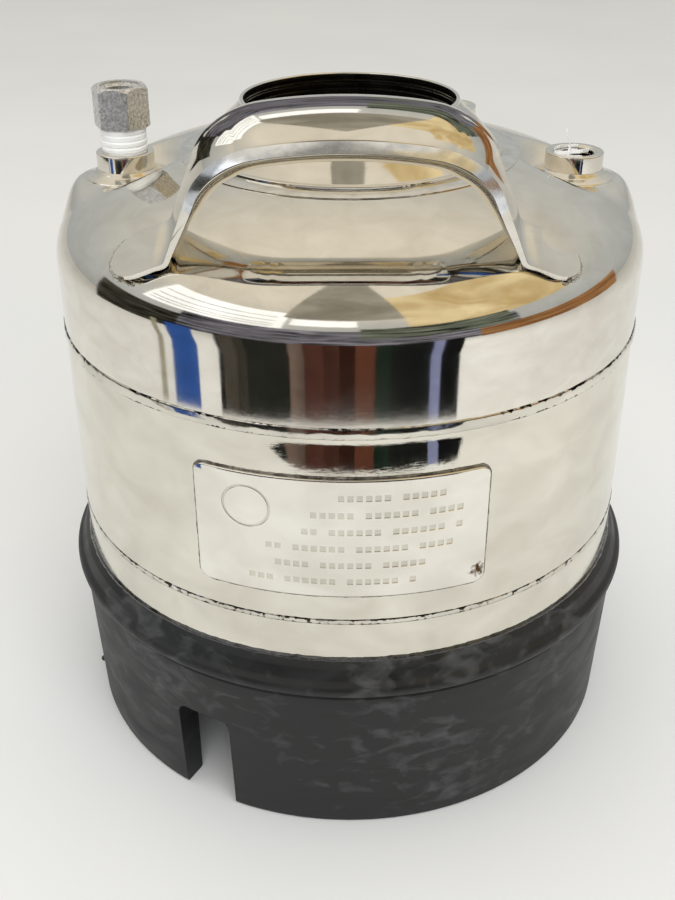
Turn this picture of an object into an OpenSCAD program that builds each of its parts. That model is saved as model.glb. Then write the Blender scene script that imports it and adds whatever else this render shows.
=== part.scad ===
// Small stainless pressure pot: a welded shell with two dished heads, a flared
// mouth, three pipe ports, a strap handle and a moulded rubber boot.
// Origin: on the vessel's axis, at the floor. +Z up, -Y to the handle and plate.

/* [Vessel] */
// Outside diameter of the shell and heads
shell_od = 228.6; // [220:0.2:236]
// Sheet thickness of the shell and heads
wall_t = 2; // [1.5:0.1:2.5]
// Height of the upper girth weld above the floor
upper_seam_z = 176.5; // [174:0.5:180]
// Height of the lower girth weld above the floor
lower_seam_z = 99.5; // [98:0.5:104]
// Straight flange of each head, from its weld to the start of the dome
flange_h = 26.6; // [24:0.2:28]
// Rise of each dome above its straight flange
dome_h = 41.55; // [40:0.05:43]
// Fullness of the dome's curve, where 2 is an ellipse
dome_power = 2.24; // [2:0.02:2.5]

/* [Mouth] */
// Radius of the clear mouth
mouth_r = 39.9; // [38:0.1:41]
// Height of the mouth's rim above the floor
rim_z = 258.7; // [256:0.1:262]
// Outer radius of the neck where it meets the head
neck_base_r = 58.5; // [57:0.5:60]
// Width of the weld band round the neck
neck_weld_w = 6.5; // [5:0.5:8]

/* [Ports] */
// Distance of each port from the vessel's axis
port_radius = 86.4; // [85:0.1:88]
// Height of the ports' top faces
port_top_z = 238; // [237:0.1:239]
// Outside diameter of a port coupling
port_od = 22.2; // [21.6:0.1:23]
// Bore radius of a port coupling, at the thread crests
port_bore_r = 7.4; // [7:0.1:7.6]
// Length of a port coupling
port_len = 19; // [17:0.5:21]
// Height of the flat seat pressed in the head under each port
seat_z = 230; // [229:0.5:231]
// Outer radius of a seat
seat_r = 15.5; // [15:0.1:17]
// Bearing of the rear port, anticlockwise from +X
rear_port_angle = 59; // [50:1:70]

/* [Adapter] */
// Hexagon size across flats
hex_af = 19.05; // [19:0.05:20]
// Height of the hexagon
hex_h = 15; // [13:0.5:17]
// Height of the hexagon's top face
hex_top_z = 262.5; // [261:0.5:264]
// Radius of the adapter's own bore
adapter_bore_r = 6; // [5:0.1:6.4]
// Turn of the hexagon about its axis
hex_turn = 23.4; // [0:0.1:60]
// Outer radius of the tape wound on the thread
tape_r = 8.75; // [8.4:0.05:9]

/* [Handle] */
// Width of the handle strip
strap_w = 22.5; // [20:0.5:25]
// Thickness of the handle's pressed sheet
strap_t = 2.5; // [2:0.1:3]
// Depth of the strap's turned-down lips
lip_d = 4.4; // [3:0.1:6]
// Forward lean of the whole arch
strap_lean = 21; // [18:0.5:24]
// Height of the arch above its feet, along its lean
arch_h = 50; // [47:0.5:52]
// Length of each foot along the head
foot_l = 20; // [18:0.5:22]
// Downward slope of each foot
foot_slope = 24; // [20:1:28]

/* [Data plate] */
// Height of the plate's lower edge above the floor
plate_z = 111.5; // [110:0.5:114]
// Height of the plate
plate_h = 48; // [44:0.5:50]
// Width of the plate, measured straight across
plate_w = 101; // [96:0.5:104]
// Thickness of the plate
plate_t = 1.2; // [0.8:0.1:1.6]
// Sideways offset of the plate's middle
plate_x = -2.4; // [-5:0.1:5]

/* [Rubber boot] */
// Outer radius of the boot at the floor
boot_foot_r = 115.9; // [115:0.1:118]
// Outer radius of the boot just under its bead
boot_top_r = 118.7; // [118:0.1:120]
// Height of the bead's middle
bead_z = 71.4; // [70:0.1:73]
// Radius of the bead's round section
bead_r = 3.6; // [3:0.1:4]
// Height of the lip where it meets the shell
boot_lip_z = 82; // [80:0.5:84]
// Wall thickness of the boot at the floor
boot_wall = 10.2; // [8:0.2:12]
// Height of the notch at the boot's lower edge
notch_h = 45; // [40:1:48]
// Width of the notch
notch_w = 24; // [20:1:28]
// Bearing of the notch, clockwise from the front
notch_angle = 29; // [0:1:60]

/* [Hidden] */
$fn = 96;

steel = "#c9c8c4";
bright_steel = "#dddcd8";
weld_steel = "#b3b1aa";
rubber = "#232425";
tape_white = "#f0f1f2";

eps = 0.01;
shell_r = shell_od / 2;
upper_tangent_z = upper_seam_z + flange_h;
lower_tangent_z = lower_seam_z - flange_h;
dome_steps = 18;
weld_rise = 0.6;
weld_w = 4.2;
seat_wall = 1.6;
port_r = port_od / 2;
head_hole_r = neck_base_r + 3;
left_bearing = 180;
right_bearing = 0;

// Arch of the handle, in its own leaning plane: a wide crown arc, two tighter
// corner arcs and two straight legs
handle_y = -66.5;
handle_z = 230.7;
handle_x = -1.3;
crown_r = 156;
crown_half = 9.8;
corner_r = 29;
leg_lean = 20.7;
foot_lift = 0.7;
corner_x = (crown_r - corner_r) * sin(crown_half);
corner_h = arch_h - crown_r + (crown_r - corner_r) * cos(crown_half);
leg_top_x = corner_x + corner_r * cos(leg_lean);
leg_top_h = corner_h + corner_r * sin(leg_lean);
leg_l = (leg_top_h - foot_lift) / cos(leg_lean);
foot_x = leg_top_x + leg_l * sin(leg_lean);

// Height of the upper head's outer surface at radius r
function dome_z(r) =
  upper_tangent_z + dome_h * pow(1 - pow(r / shell_r, dome_power), 1 / dome_power);

// Dome outline from its widest point to the axis
function dome_curve(r, h, steps = dome_steps) = [
  for (i = [0:steps])
    let (a = 90 * i / steps)
      [r * pow(cos(a), 2 / dome_power), h * pow(sin(a), 2 / dome_power)]
];

// Solid inside one surface of a head, shrunk by inset, standing on its flange
module dome_solid(inset = 0, skirt = flange_h) {
  rotate_extrude()
    polygon(concat(
      [[0, -skirt], [shell_r - inset, -skirt]],
      dome_curve(shell_r - inset, dome_h - inset)
    ));
}

// Place something at a port's foot point, given its bearing
module at_port(bearing) {
  rotate([0, 0, bearing]) translate([port_radius, 0, 0]) children();
}

module at_ports() {
  for (bearing = [right_bearing, rear_port_angle, left_bearing]) at_port(bearing) children();
}

module ring(r_outer, r_inner, z_low, z_high) {
  translate([0, 0, z_low])
    difference() {
      cylinder(h = z_high - z_low, r = r_outer);
      translate([0, 0, -eps]) cylinder(h = z_high - z_low + 2 * eps, r = r_inner);
    }
}

// Dished head with a mouth hole and a flat, sunk seat for each port
module top_head() {
  color(bright_steel)
    difference() {
      union() {
        translate([0, 0, upper_tangent_z]) dome_solid();
        at_ports() translate([0, 0, upper_tangent_z]) cylinder(h = seat_z - upper_tangent_z, r = seat_r);
      }
      difference() {
        translate([0, 0, upper_tangent_z]) dome_solid(wall_t, flange_h + 1);
        at_ports() translate([0, 0, seat_z - wall_t]) cylinder(h = 20, r = seat_r);
      }
      at_ports() {
        translate([0, 0, seat_z]) cylinder(h = 20, r = seat_r - seat_wall);
        translate([0, 0, upper_tangent_z - 5])
          cylinder(h = seat_z - wall_t - upper_tangent_z + 5, r = seat_r - seat_wall);
        translate([0, 0, upper_tangent_z]) cylinder(h = 40, r = port_r);
      }
      cylinder(h = 300, r = head_hole_r);
    }
}

module shell_band() {
  color(steel) ring(shell_r, shell_r - wall_t, lower_seam_z, upper_seam_z);
}

module bottom_head() {
  color(steel)
    translate([0, 0, lower_tangent_z])
      mirror([0, 0, 1])
        difference() {
          dome_solid();
          dome_solid(wall_t, flange_h + 1);
        }
}

// Low crowned bead round the shell
module girth_weld(z) {
  color(weld_steel)
    rotate_extrude()
      polygon([
        [shell_r, z - weld_w / 2],
        [shell_r + weld_rise, z - weld_w / 4],
        [shell_r + weld_rise, z + weld_w / 4],
        [shell_r, z + weld_w / 2]
      ]);
}

module upper_girth_weld() {
  girth_weld(upper_seam_z);
}

module lower_girth_weld() {
  girth_weld(lower_seam_z);
}

// Straight bead that closes the rolled shell band, at the back
module long_seam_weld() {
  seam_gap = weld_w / 2;
  color(weld_steel)
    intersection() {
      ring(shell_r + weld_rise, shell_r, lower_seam_z + seam_gap, upper_seam_z - seam_gap);
      translate([-weld_w / 2, 0, 0]) cube([weld_w, shell_od, 300]);
    }
}

// Flared neck: straight bore with three turned lines, thin rim, spreading foot
module neck_ring() {
  flare_top = rim_z - 2.1;
  foot_z = dome_z(neck_base_r);
  bore_low = foot_z - 5;
  line_depths = [2.9, 6.2, 10];
  color(bright_steel)
    difference() {
      rotate_extrude()
        polygon([
          [mouth_r, bore_low],
          [neck_base_r, bore_low],
          [neck_base_r, foot_z],
          [57, foot_z + 1.6],
          [54.8, foot_z + 4],
          [52, foot_z + 7],
          [49, foot_z + 9.8],
          [46.2, foot_z + 12],
          [43.6, foot_z + 14.3],
          [42, flare_top],
          [mouth_r + 1.5, rim_z - 0.7],
          [mouth_r + 1.1, rim_z],
          [mouth_r + 0.4, rim_z],
          [mouth_r, rim_z - 0.5]
        ]);
      for (depth = line_depths)
        ring(mouth_r + 0.5, mouth_r - 1, rim_z - depth - 0.4, rim_z - depth + 0.4);
    }
}

// Brushed weld band that fills the joint between neck and head
module neck_weld() {
  band_r = neck_base_r + neck_weld_w;
  root_z = dome_z(neck_base_r) - 3;
  color(weld_steel)
    rotate_extrude()
      polygon([
        [neck_base_r, root_z],
        [head_hole_r, root_z],
        [head_hole_r, dome_z(head_hole_r)],
        [band_r, dome_z(band_r)],
        [band_r - 1.4, dome_z(band_r - 1.4) + 0.7],
        [neck_base_r + 2, dome_z(neck_base_r + 2) + 0.9],
        [neck_base_r, dome_z(neck_base_r) + 0.4]
      ]);
}

module port_coupling(bearing) {
  color(bright_steel)
    at_port(bearing)
      translate([0, 0, port_top_z - port_len])
        rotate_extrude()
          polygon([
            [port_bore_r, 0],
            [port_r, 0],
            [port_r, port_len - 0.6],
            [port_r - 0.6, port_len],
            [port_bore_r, port_len]
          ]);
}

module left_port_coupling() {
  port_coupling(left_bearing);
}

module right_port_coupling() {
  port_coupling(right_bearing);
}

module rear_port_coupling() {
  port_coupling(rear_port_angle);
}

// Hollow fillet bead between a coupling and its seat
module port_weld(bearing) {
  leg = seat_r - seat_wall - port_r;
  color(weld_steel)
    at_port(bearing)
      translate([0, 0, seat_z])
        rotate_extrude()
          difference() {
            translate([port_r, 0]) square(leg);
            translate([port_r + leg * 1.25, leg * 1.25]) circle(leg * 1.1);
          }
}

module left_port_weld() {
  port_weld(left_bearing);
}

module right_port_weld() {
  port_weld(right_bearing);
}

module rear_port_weld() {
  port_weld(rear_port_angle);
}

// Hexagon adapter with a chamfered top, screwed into the left port
module hex_adapter() {
  hex_r = hex_af / 2 / cos(30);
  chamfer = 1.3;
  engaged = 9;
  color("#a9a598")
    at_port(left_bearing)
      difference() {
        union() {
          intersection() {
            translate([0, 0, hex_top_z - hex_h])
              rotate([0, 0, hex_turn + left_bearing]) cylinder(h = hex_h, r = hex_r, $fn = 6);
            translate([0, 0, hex_top_z - hex_h])
              rotate_extrude()
                polygon([
                  [0, 0],
                  [hex_r - chamfer / 2, 0],
                  [hex_r + eps, chamfer / 2],
                  [hex_r + eps, hex_h - chamfer],
                  [hex_af / 2 - 0.4, hex_h],
                  [0, hex_h]
                ]);
          }
          translate([0, 0, port_top_z]) cylinder(h = hex_top_z - hex_h - port_top_z, r = tape_r - 0.55);
          translate([0, 0, port_top_z - engaged]) cylinder(h = engaged, r = port_bore_r);
        }
        translate([0, 0, port_top_z - engaged - 1]) cylinder(h = 60, r = adapter_bore_r);
      }
}

// White tape wound in ridges round the adapter's exposed thread
module thread_tape() {
  ridges = 3;
  pitch = (hex_top_z - hex_h - port_top_z) / ridges;
  color(tape_white)
    at_port(left_bearing)
      translate([0, 0, port_top_z])
        rotate_extrude()
          polygon(concat(
            [[tape_r - 0.55, pitch * ridges], [tape_r - 0.55, 0]],
            [for (i = [0:ridges - 1]) each [
              [tape_r - 0.25, i * pitch],
              [tape_r, (i + 0.35) * pitch],
              [tape_r, (i + 0.8) * pitch]
            ]],
            [[tape_r - 0.25, pitch * ridges]]
          ));
}

// Torn turn of old tape left in the right port's thread
module tape_scrap() {
  scrap_h = 2.2;
  scrap_t = 0.2;
  color(tape_white)
    at_port(right_bearing)
      translate([0, 0, port_top_z - scrap_h])
        rotate([0, 0, 95])
          rotate_extrude(angle = 150)
            translate([port_bore_r - scrap_t, 0]) square([scrap_t, scrap_h]);
}

// Points along an arc, by angle clockwise from straight up
function arc(centre, r, from, to, steps = 10) = [
  for (i = [0:steps])
    let (a = from + (to - from) * i / steps)
      centre + r * [sin(a), cos(a)]
];

// Filled outline of the arch, drawn inset from its outer surface, with its legs
// cut off level at the given height
module arch(inset = 0, low = foot_lift) {
  crown = crown_r - inset;
  corner = corner_r - inset;
  leg_turn = 90 - leg_lean;
  leg_top = [corner_x, corner_h] + corner * [sin(leg_turn), cos(leg_turn)];
  leg_end_x = leg_top[0] + (leg_top[1] - low) * tan(leg_lean);
  polygon(concat(
    [[-leg_end_x, low]],
    arc([-corner_x, corner_h], corner, -leg_turn, -crown_half - 1),
    arc([0, arch_h - crown_r], crown, -crown_half, crown_half),
    arc([corner_x, corner_h], corner, crown_half + 1, leg_turn),
    [[leg_end_x, low]]
  ));
}

// One foot on the +X side, a tongue with a round end
module strap_foot() {
  translate([foot_x - strap_t, 0, foot_lift - 0.2])
    rotate([0, foot_slope, 0])
      linear_extrude(strap_t)
        union() {
          translate([0, -strap_w]) square([foot_l + strap_t - strap_w / 2, strap_w]);
          translate([foot_l + strap_t - strap_w / 2, -strap_w / 2]) circle(strap_w / 2);
        }
}

// Frame of the handle: x to the right, y to the back, z up the leaning arch
module in_handle_frame() {
  translate([handle_x, handle_y, handle_z]) rotate([strap_lean, 0, 0]) children();
}

// Pressed strap: a bent sheet with its front and back edges turned down
module carry_handle() {
  color(bright_steel)
    in_handle_frame() {
      difference() {
        rotate([90, 0, 0])
          linear_extrude(strap_w)
            difference() {
              arch();
              arch(lip_d, foot_lift - 5);
            }
        translate([0, -strap_t, 0])
          rotate([90, 0, 0]) linear_extrude(strap_w - 2 * strap_t) arch(strap_t, foot_lift - 5);
      }
      for (side = [0, 1]) mirror([side, 0, 0]) strap_foot();
    }
}

// Bead round the rounded end of a foot
module foot_weld(side) {
  bead_r = 1.5;
  color(weld_steel)
    in_handle_frame()
      mirror([side, 0, 0])
        translate([foot_x - strap_t, 0, foot_lift])
          rotate([0, foot_slope, 0])
            translate([foot_l + strap_t - strap_w / 2, -strap_w / 2, 0])
              rotate([0, 0, -80])
                rotate_extrude(angle = 175) translate([strap_w / 2 + bead_r * 0.6, 0]) circle(bead_r);
}

module left_foot_weld() {
  foot_weld(1);
}

module right_foot_weld() {
  foot_weld(0);
}

// Rectangle with rounded corners, lower left corner at the origin
module rounded_rect(w, h, r) {
  translate([r, 0]) square([w - 2 * r, h]);
  translate([0, r]) square([w, h - 2 * r]);
  for (x = [r, w - r], y = [r, h - r]) translate([x, y]) circle(r);
}

// Slice of a curved sheet on the front of the shell, cut to a rounded outline
module front_patch(grow, r_outer, corner) {
  intersection() {
    ring(r_outer, shell_r, plate_z - 10, plate_z + plate_h + 10);
    translate([plate_x - plate_w / 2 - grow, 0, plate_z - grow])
      rotate([90, 0, 0])
        linear_extrude(shell_od)
          rounded_rect(plate_w + 2 * grow, plate_h + 2 * grow, corner + grow);
  }
}

// Blank data plate with ruled lines
module data_plate() {
  rule_gap = plate_h / 7;
  color(steel)
    difference() {
      front_patch(0, shell_r + plate_t, 3.5);
      for (i = [2:5])
        intersection() {
          ring(shell_r + plate_t + 1, shell_r + plate_t - 0.3,
            plate_z + i * rule_gap, plate_z + i * rule_gap + 0.6);
          translate([plate_x - plate_w * 0.2, -shell_od, 0]) cube([plate_w * 0.6, shell_od, 300]);
        }
    }
}

// Narrow seam that seals the plate's edge to the shell
module plate_seam() {
  color(weld_steel)
    difference() {
      front_patch(0.9, shell_r + plate_t / 2, 3.5);
      front_patch(0, shell_r + plate_t, 3.5);
    }
}

// Moulded boot: tapered skirt, round bead, lip against the shell, and a seat
// that follows the lower head
module rubber_boot() {
  round_r = 2;
  inner_r = boot_foot_r - boot_wall;
  groove_z = bead_z - bead_r;
  seat_curve = [for (p = dome_curve(shell_r, dome_h)) if (p[0] > inner_r) [p[0], lower_tangent_z - p[1]]];
  seat_low_z = lower_tangent_z + upper_tangent_z - dome_z(inner_r);
  color(rubber)
    difference() {
      rotate_extrude()
        union() {
          polygon(concat(
            [
              [inner_r, 0],
              [boot_foot_r - round_r, 0],
              [boot_foot_r, round_r],
              [boot_top_r, groove_z - 0.6],
              [boot_top_r - 0.5, groove_z],
              [boot_top_r, bead_z + bead_r - 0.4],
              [shell_r + 0.8, boot_lip_z],
              [shell_r, boot_lip_z]
            ],
            seat_curve,
            [[inner_r, seat_low_z]]
          ));
          translate([boot_top_r - 1.2, bead_z]) circle(bead_r);
        }
      rotate([0, 0, -notch_angle]) boot_notch();
    }
}

// Opening at the boot's lower edge, with rounded upper corners
module boot_notch() {
  corner = 4;
  translate([-notch_w / 2, -60, -notch_h])
    rotate([90, 0, 0])
      linear_extrude(80) rounded_rect(notch_w, 2 * notch_h, corner);
}

// Thin line of sealant above the boot's lip
module boot_sealant() {
  color("#3a3a38")
    rotate_extrude()
      polygon([
        [shell_r, boot_lip_z],
        [shell_r + 0.8, boot_lip_z],
        [shell_r, boot_lip_z + 1.4]
      ]);
}

top_head();
shell_band();
bottom_head();
upper_girth_weld();
lower_girth_weld();
long_seam_weld();
neck_ring();
neck_weld();
left_port_coupling();
right_port_coupling();
rear_port_coupling();
left_port_weld();
right_port_weld();
rear_port_weld();
hex_adapter();
thread_tape();
tape_scrap();
carry_handle();
left_foot_weld();
right_foot_weld();
data_plate();
plate_seam();
rubber_boot();
boot_sealant();
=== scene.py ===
import bmesh
import bpy
import math
from mathutils import Matrix, Vector, noise


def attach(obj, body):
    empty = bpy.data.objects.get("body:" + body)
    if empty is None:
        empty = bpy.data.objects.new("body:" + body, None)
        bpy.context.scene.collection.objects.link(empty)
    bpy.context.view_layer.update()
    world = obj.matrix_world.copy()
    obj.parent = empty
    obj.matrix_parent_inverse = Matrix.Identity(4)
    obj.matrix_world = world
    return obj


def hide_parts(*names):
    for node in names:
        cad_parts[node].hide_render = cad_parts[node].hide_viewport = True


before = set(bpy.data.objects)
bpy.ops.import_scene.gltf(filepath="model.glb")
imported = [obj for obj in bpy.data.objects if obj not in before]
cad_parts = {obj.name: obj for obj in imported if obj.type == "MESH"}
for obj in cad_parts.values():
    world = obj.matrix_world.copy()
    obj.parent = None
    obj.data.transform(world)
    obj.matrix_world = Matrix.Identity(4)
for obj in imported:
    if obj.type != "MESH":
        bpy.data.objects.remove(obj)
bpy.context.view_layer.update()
mm = 0.001
print("frame loaded:", len(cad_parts), "nodes")


# tools for modelling

def deselectAll():
    if bpy.context.object and bpy.context.object.mode != "OBJECT":
        bpy.ops.object.mode_set(mode="OBJECT")
    bpy.ops.object.select_all(action="DESELECT")


def pick(piece):
    deselectAll()
    piece.select_set(True)
    bpy.context.view_layer.objects.active = piece


def settle(piece, place=Matrix.Identity(4)):
    # moves a piece to its place and leaves its object at the origin
    pick(piece)
    piece.matrix_world = place @ piece.matrix_world
    bpy.ops.object.transform_apply(location=True, rotation=True, scale=True)
    return piece


def apply(piece, kind, **settings):
    pick(piece)
    modifier = piece.modifiers.new(kind.title(), kind)
    for key, value in settings.items():
        setattr(modifier, key, value)
    bpy.ops.object.modifier_apply(modifier=modifier.name)


def cut(piece, tool, operation="DIFFERENCE"):
    apply(piece, "BOOLEAN", object=tool, operation=operation, solver="EXACT")
    bpy.data.objects.remove(tool)


def roughen(piece, depth, size):
    # pushes the surface in and out by a soft noise, all in millimetres
    grain = bpy.data.textures.new(piece.name + "Grain", "CLOUDS")
    grain.noise_scale = size * mm
    apply(piece, "DISPLACE", texture=grain, strength=depth * mm, mid_level=0.5, texture_coords="LOCAL")


def smooth(piece, degrees=35):
    pick(piece)
    bpy.ops.object.shade_smooth_by_angle(angle=math.radians(degrees))


def eased(corners, closed=True, steps=5):
    # rounds each corner (x, z, radius) of a chain with an arc
    points = []
    count = len(corners)
    for index, (x, z, radius) in enumerate(corners):
        here = Vector((x, z))
        if radius == 0 or (not closed and index in (0, count - 1)):
            points.append(here)
            continue
        back = (Vector(corners[index - 1][:2]) - here).normalized()
        ahead = (Vector(corners[(index + 1) % count][:2]) - here).normalized()
        half = back.angle(ahead) / 2
        centre = here + (back + ahead).normalized() * radius / math.sin(half)
        start = here + back * radius / math.tan(half) - centre
        end = here + ahead * radius / math.tan(half) - centre
        turn = math.atan2(start.cross(end), start.dot(end))
        for step in range(steps + 1):
            points.append(centre + Matrix.Rotation(turn * step / steps, 2) @ start)
    return points


def turned(name, points, steps=160, closed=True, angle=math.tau):
    # extrudes a chain of (radius, height) points in millimetres and spins it round Z
    deselectAll()
    start = Vector((points[0][0], 0, points[0][1])) * mm
    bpy.ops.mesh.primitive_plane_add(size=mm, location=start)
    piece = bpy.context.object
    piece.name = name
    bpy.ops.object.transform_apply(location=True, rotation=True, scale=True)
    bpy.ops.object.mode_set(mode="EDIT")
    bpy.ops.mesh.merge(type="CENTER")
    here = start
    for point in list(points[1:]) + ([points[0]] if closed else []):
        there = Vector((point[0], 0, point[1])) * mm
        bpy.ops.mesh.extrude_vertices_move(TRANSFORM_OT_translate={"value": there - here})
        here = there
    bpy.ops.mesh.select_all(action="SELECT")
    bpy.ops.mesh.remove_doubles(threshold=1e-7)
    bpy.ops.mesh.spin(steps=steps, angle=angle, center=(0, 0, 0), axis=(0, 0, 1))
    bpy.ops.mesh.select_all(action="SELECT")
    bpy.ops.mesh.remove_doubles(threshold=1e-6)
    bpy.ops.mesh.normals_make_consistent(inside=False)
    bpy.ops.object.mode_set(mode="OBJECT")
    return piece


def box(name, low, high):
    # a block between two corners in millimetres
    deselectAll()
    low, high = Vector(low) * mm, Vector(high) * mm
    bpy.ops.mesh.primitive_cube_add(size=1, location=(low + high) / 2, scale=high - low)
    piece = bpy.context.object
    piece.name = name
    bpy.ops.object.transform_apply(location=True, rotation=True, scale=True)
    return piece


def bevelEdges(piece, wanted, offset, segments):
    # bevels the edges that the test picks, by their two ends in millimetres
    pick(piece)
    bpy.ops.object.mode_set(mode="EDIT")
    bpy.ops.mesh.select_mode(type="EDGE")
    bpy.ops.mesh.select_all(action="DESELECT")
    shape = bmesh.from_edit_mesh(piece.data)
    for edge in shape.edges:
        edge.select = wanted(edge.verts[0].co / mm, edge.verts[1].co / mm, edge)
    bmesh.update_edit_mesh(piece.data)
    bpy.ops.mesh.bevel(offset=offset * mm, segments=segments, affect="EDGES", clamp_overlap=True)
    bpy.ops.mesh.select_mode(type="VERT")
    bpy.ops.object.mode_set(mode="OBJECT")


def slices(piece, axis, places):
    # cuts a piece straight through at each place along an axis, in millimetres
    pick(piece)
    bpy.ops.object.mode_set(mode="EDIT")
    for place in places:
        bpy.ops.mesh.select_all(action="SELECT")
        bpy.ops.mesh.bisect(plane_co=axis * place * mm, plane_no=axis)
    bpy.ops.object.mode_set(mode="OBJECT")


def ease(x):
    x = min(max(x, 0), 1)
    return x * x * (3 - 2 * x)


def span(low, high, count):
    return [low + (high - low) * step / (count - 1) for step in range(count)]


# tools for materials

def colour(code):
    # sRGB hex to linear
    parts = [int(code[i:i + 2], 16) / 255 for i in (1, 3, 5)]
    return tuple(c / 12.92 if c <= 0.04045 else ((c + 0.055) / 1.055) ** 2.4 for c in parts) + (1,)


def add(tree, kind, values=None, links=None, **settings):
    # one node with its settings, its socket values and its links
    node = tree.nodes.new("ShaderNode" + kind)
    for key, value in settings.items():
        setattr(node, key, value)
    for key, value in (values or {}).items():
        node.inputs[key].default_value = value
    for key, value in (links or {}).items():
        tree.links.new(value, node.inputs[key])
    return node


def start(name):
    material = bpy.data.materials.new(name)
    material.use_nodes = True
    tree = material.node_tree
    tree.nodes.clear()
    shader = add(tree, "BsdfPrincipled")
    add(tree, "OutputMaterial", links={"Surface": shader.outputs["BSDF"]})
    place = add(tree, "TexCoord").outputs["Object"]
    return material, tree, shader, place


def perMetre(size):
    # scale of a pattern whose features are size millimetres apart
    return 1 / (size * mm)


def ramp(tree, fac, stops):
    node = add(tree, "ValToRGB", links={"Fac": fac})
    marks = node.color_ramp.elements
    while len(marks) < len(stops):
        marks.new(0.5)
    for mark, (position, shade) in zip(marks, stops):
        mark.position = position
        mark.color = colour(shade) if isinstance(shade, str) else (shade, shade, shade, 1)
    return node.outputs["Color"]


def stretch(tree, place, scale, turn=(0, 0, 0)):
    return add(tree, "Mapping", {"Scale": scale, "Rotation": turn}, {"Vector": place}).outputs["Vector"]


def grain(tree, place, size, detail=4, distortion=0):
    values = {"Scale": perMetre(size), "Detail": detail, "Distortion": distortion}
    return add(tree, "TexNoise", values, {"Vector": place}).outputs["Fac"]


def wire(tree, shader, tint, rough, normal):
    for socket, value in (("Base Color", tint), ("Roughness", rough), ("Normal", normal)):
        tree.links.new(value, shader.inputs[socket])


def raggedness(tree, place, size, shift):
    # a noise that shifts an edge by up to so many millimetres either way
    return add(tree, "MapRange", {"From Min": 0.3, "From Max": 0.7, "To Min": -shift * mm, "To Max": shift * mm},
               {"Value": grain(tree, place, size, 5)}).outputs[0]


def rustAt(tree, place, spot):
    # 1 in the middle of a ragged rusty pit, 0 outside it
    centre = [c * mm for c in spot["centre"]]
    away = add(tree, "VectorMath", {1: centre}, {0: place}, operation="DISTANCE").outputs["Value"]
    ragged = raggedness(tree, place, 1.3, 1.3)
    edge = add(tree, "Math", links={0: away, 1: ragged}).outputs[0]
    return add(tree, "MapRange", {"From Min": spot["reach"] * mm, "From Max": spot["core"] * mm},
               {"Value": edge}).outputs[0]


def scorchedEdge(tree, place, look):
    # 1 along the ragged edges of a bead that runs round at one height, fading in and out
    height = add(tree, "SeparateXYZ", links={"Vector": place}).outputs["Z"]
    above = add(tree, "Math", {1: look["seam"] * mm}, {0: height}, operation="SUBTRACT").outputs[0]
    away = add(tree, "Math", links={0: above}, operation="ABSOLUTE").outputs[0]
    ragged = raggedness(tree, place, 2.2, look["ragged"])
    edge = add(tree, "Math", links={0: away, 1: ragged}).outputs[0]
    near, far = (look["half"] - 0.1) * mm, (look["half"] + 0.25) * mm
    line = add(tree, "MapRange", {"From Min": near, "From Max": far}, {"Value": edge}).outputs[0]
    fade = ramp(tree, grain(tree, place, 17, 2), [(0.38, 0.1), (0.52, 1.0)])
    return add(tree, "Math", links={0: line, 1: fade}, operation="MULTIPLY").outputs[0]


def steel(name, look):
    # stainless steel: what the polish leaves is fine lines, smears and a few pits
    material, tree, shader, place = start(name)
    shader.inputs["Metallic"].default_value = 1
    smear = grain(tree, stretch(tree, place, look["smearStretch"]), look["smear"], 5, 0.6)
    tint = ramp(tree, smear, [(0.3, look["dark"]), (0.7, look["light"])])
    patch = grain(tree, place, look["patch"], 3)
    lines = grain(tree, stretch(tree, place, look["lineStretch"], look["lineTurn"]), look["line"], 3)
    cross = grain(tree, stretch(tree, place, look["crossStretch"], look["crossTurn"]), look["line"], 3, 0.4)
    hatch = add(tree, "Math", links={0: lines, 1: cross}, operation="MULTIPLY").outputs[0]
    haze = add(tree, "Mix", {"Factor": 0.5}, {2: patch, 3: hatch}, data_type="FLOAT").outputs[0]
    rough = add(tree, "MapRange", {"From Min": 0.25, "From Max": 0.6, "To Min": look["rough"][0],
                                   "To Max": look["rough"][1]}, {"Value": haze}).outputs[0]
    bump = add(tree, "Bump", {"Strength": look["relief"], "Distance": look["depth"] * mm},
               {"Height": hatch}).outputs[0]
    wave = add(tree, "Bump", {"Strength": look["dent"], "Distance": 0.4 * mm},
               {"Height": patch, "Normal": bump}).outputs[0]
    if "polished" in look:  # the pad's haze gives way to a polish between these heights
        height = add(tree, "SeparateXYZ", links={"Vector": place}).outputs["Z"]
        low, high = look["polished"]
        kept = add(tree, "MapRange", {"From Min": low * mm, "From Max": high * mm, "To Min": 1,
                                      "To Max": 0.3}, {"Value": height}).outputs[0]
        rough = add(tree, "Math", links={0: rough, 1: kept}, operation="MULTIPLY").outputs[0]
    if "seam" in look:
        edge = scorchedEdge(tree, place, look)
        tint = add(tree, "Mix", {7: colour(look["scorch"])}, {"Factor": edge, 6: tint},
                   data_type="RGBA").outputs[2]
    if "spot" in look:
        rust = rustAt(tree, place, look["spot"])
        tint = add(tree, "Mix", {7: colour(look["spot"]["tint"])}, {"Factor": rust, 6: tint},
                   data_type="RGBA").outputs[2]
        rough = add(tree, "Math", links={0: rough, 1: rust}, operation="MAXIMUM").outputs[0]
        bare = add(tree, "Math", {0: 1}, {1: rust}, operation="SUBTRACT").outputs[0]
        tree.links.new(bare, shader.inputs["Metallic"])
    wire(tree, shader, tint, rough, wave)
    return material


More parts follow.
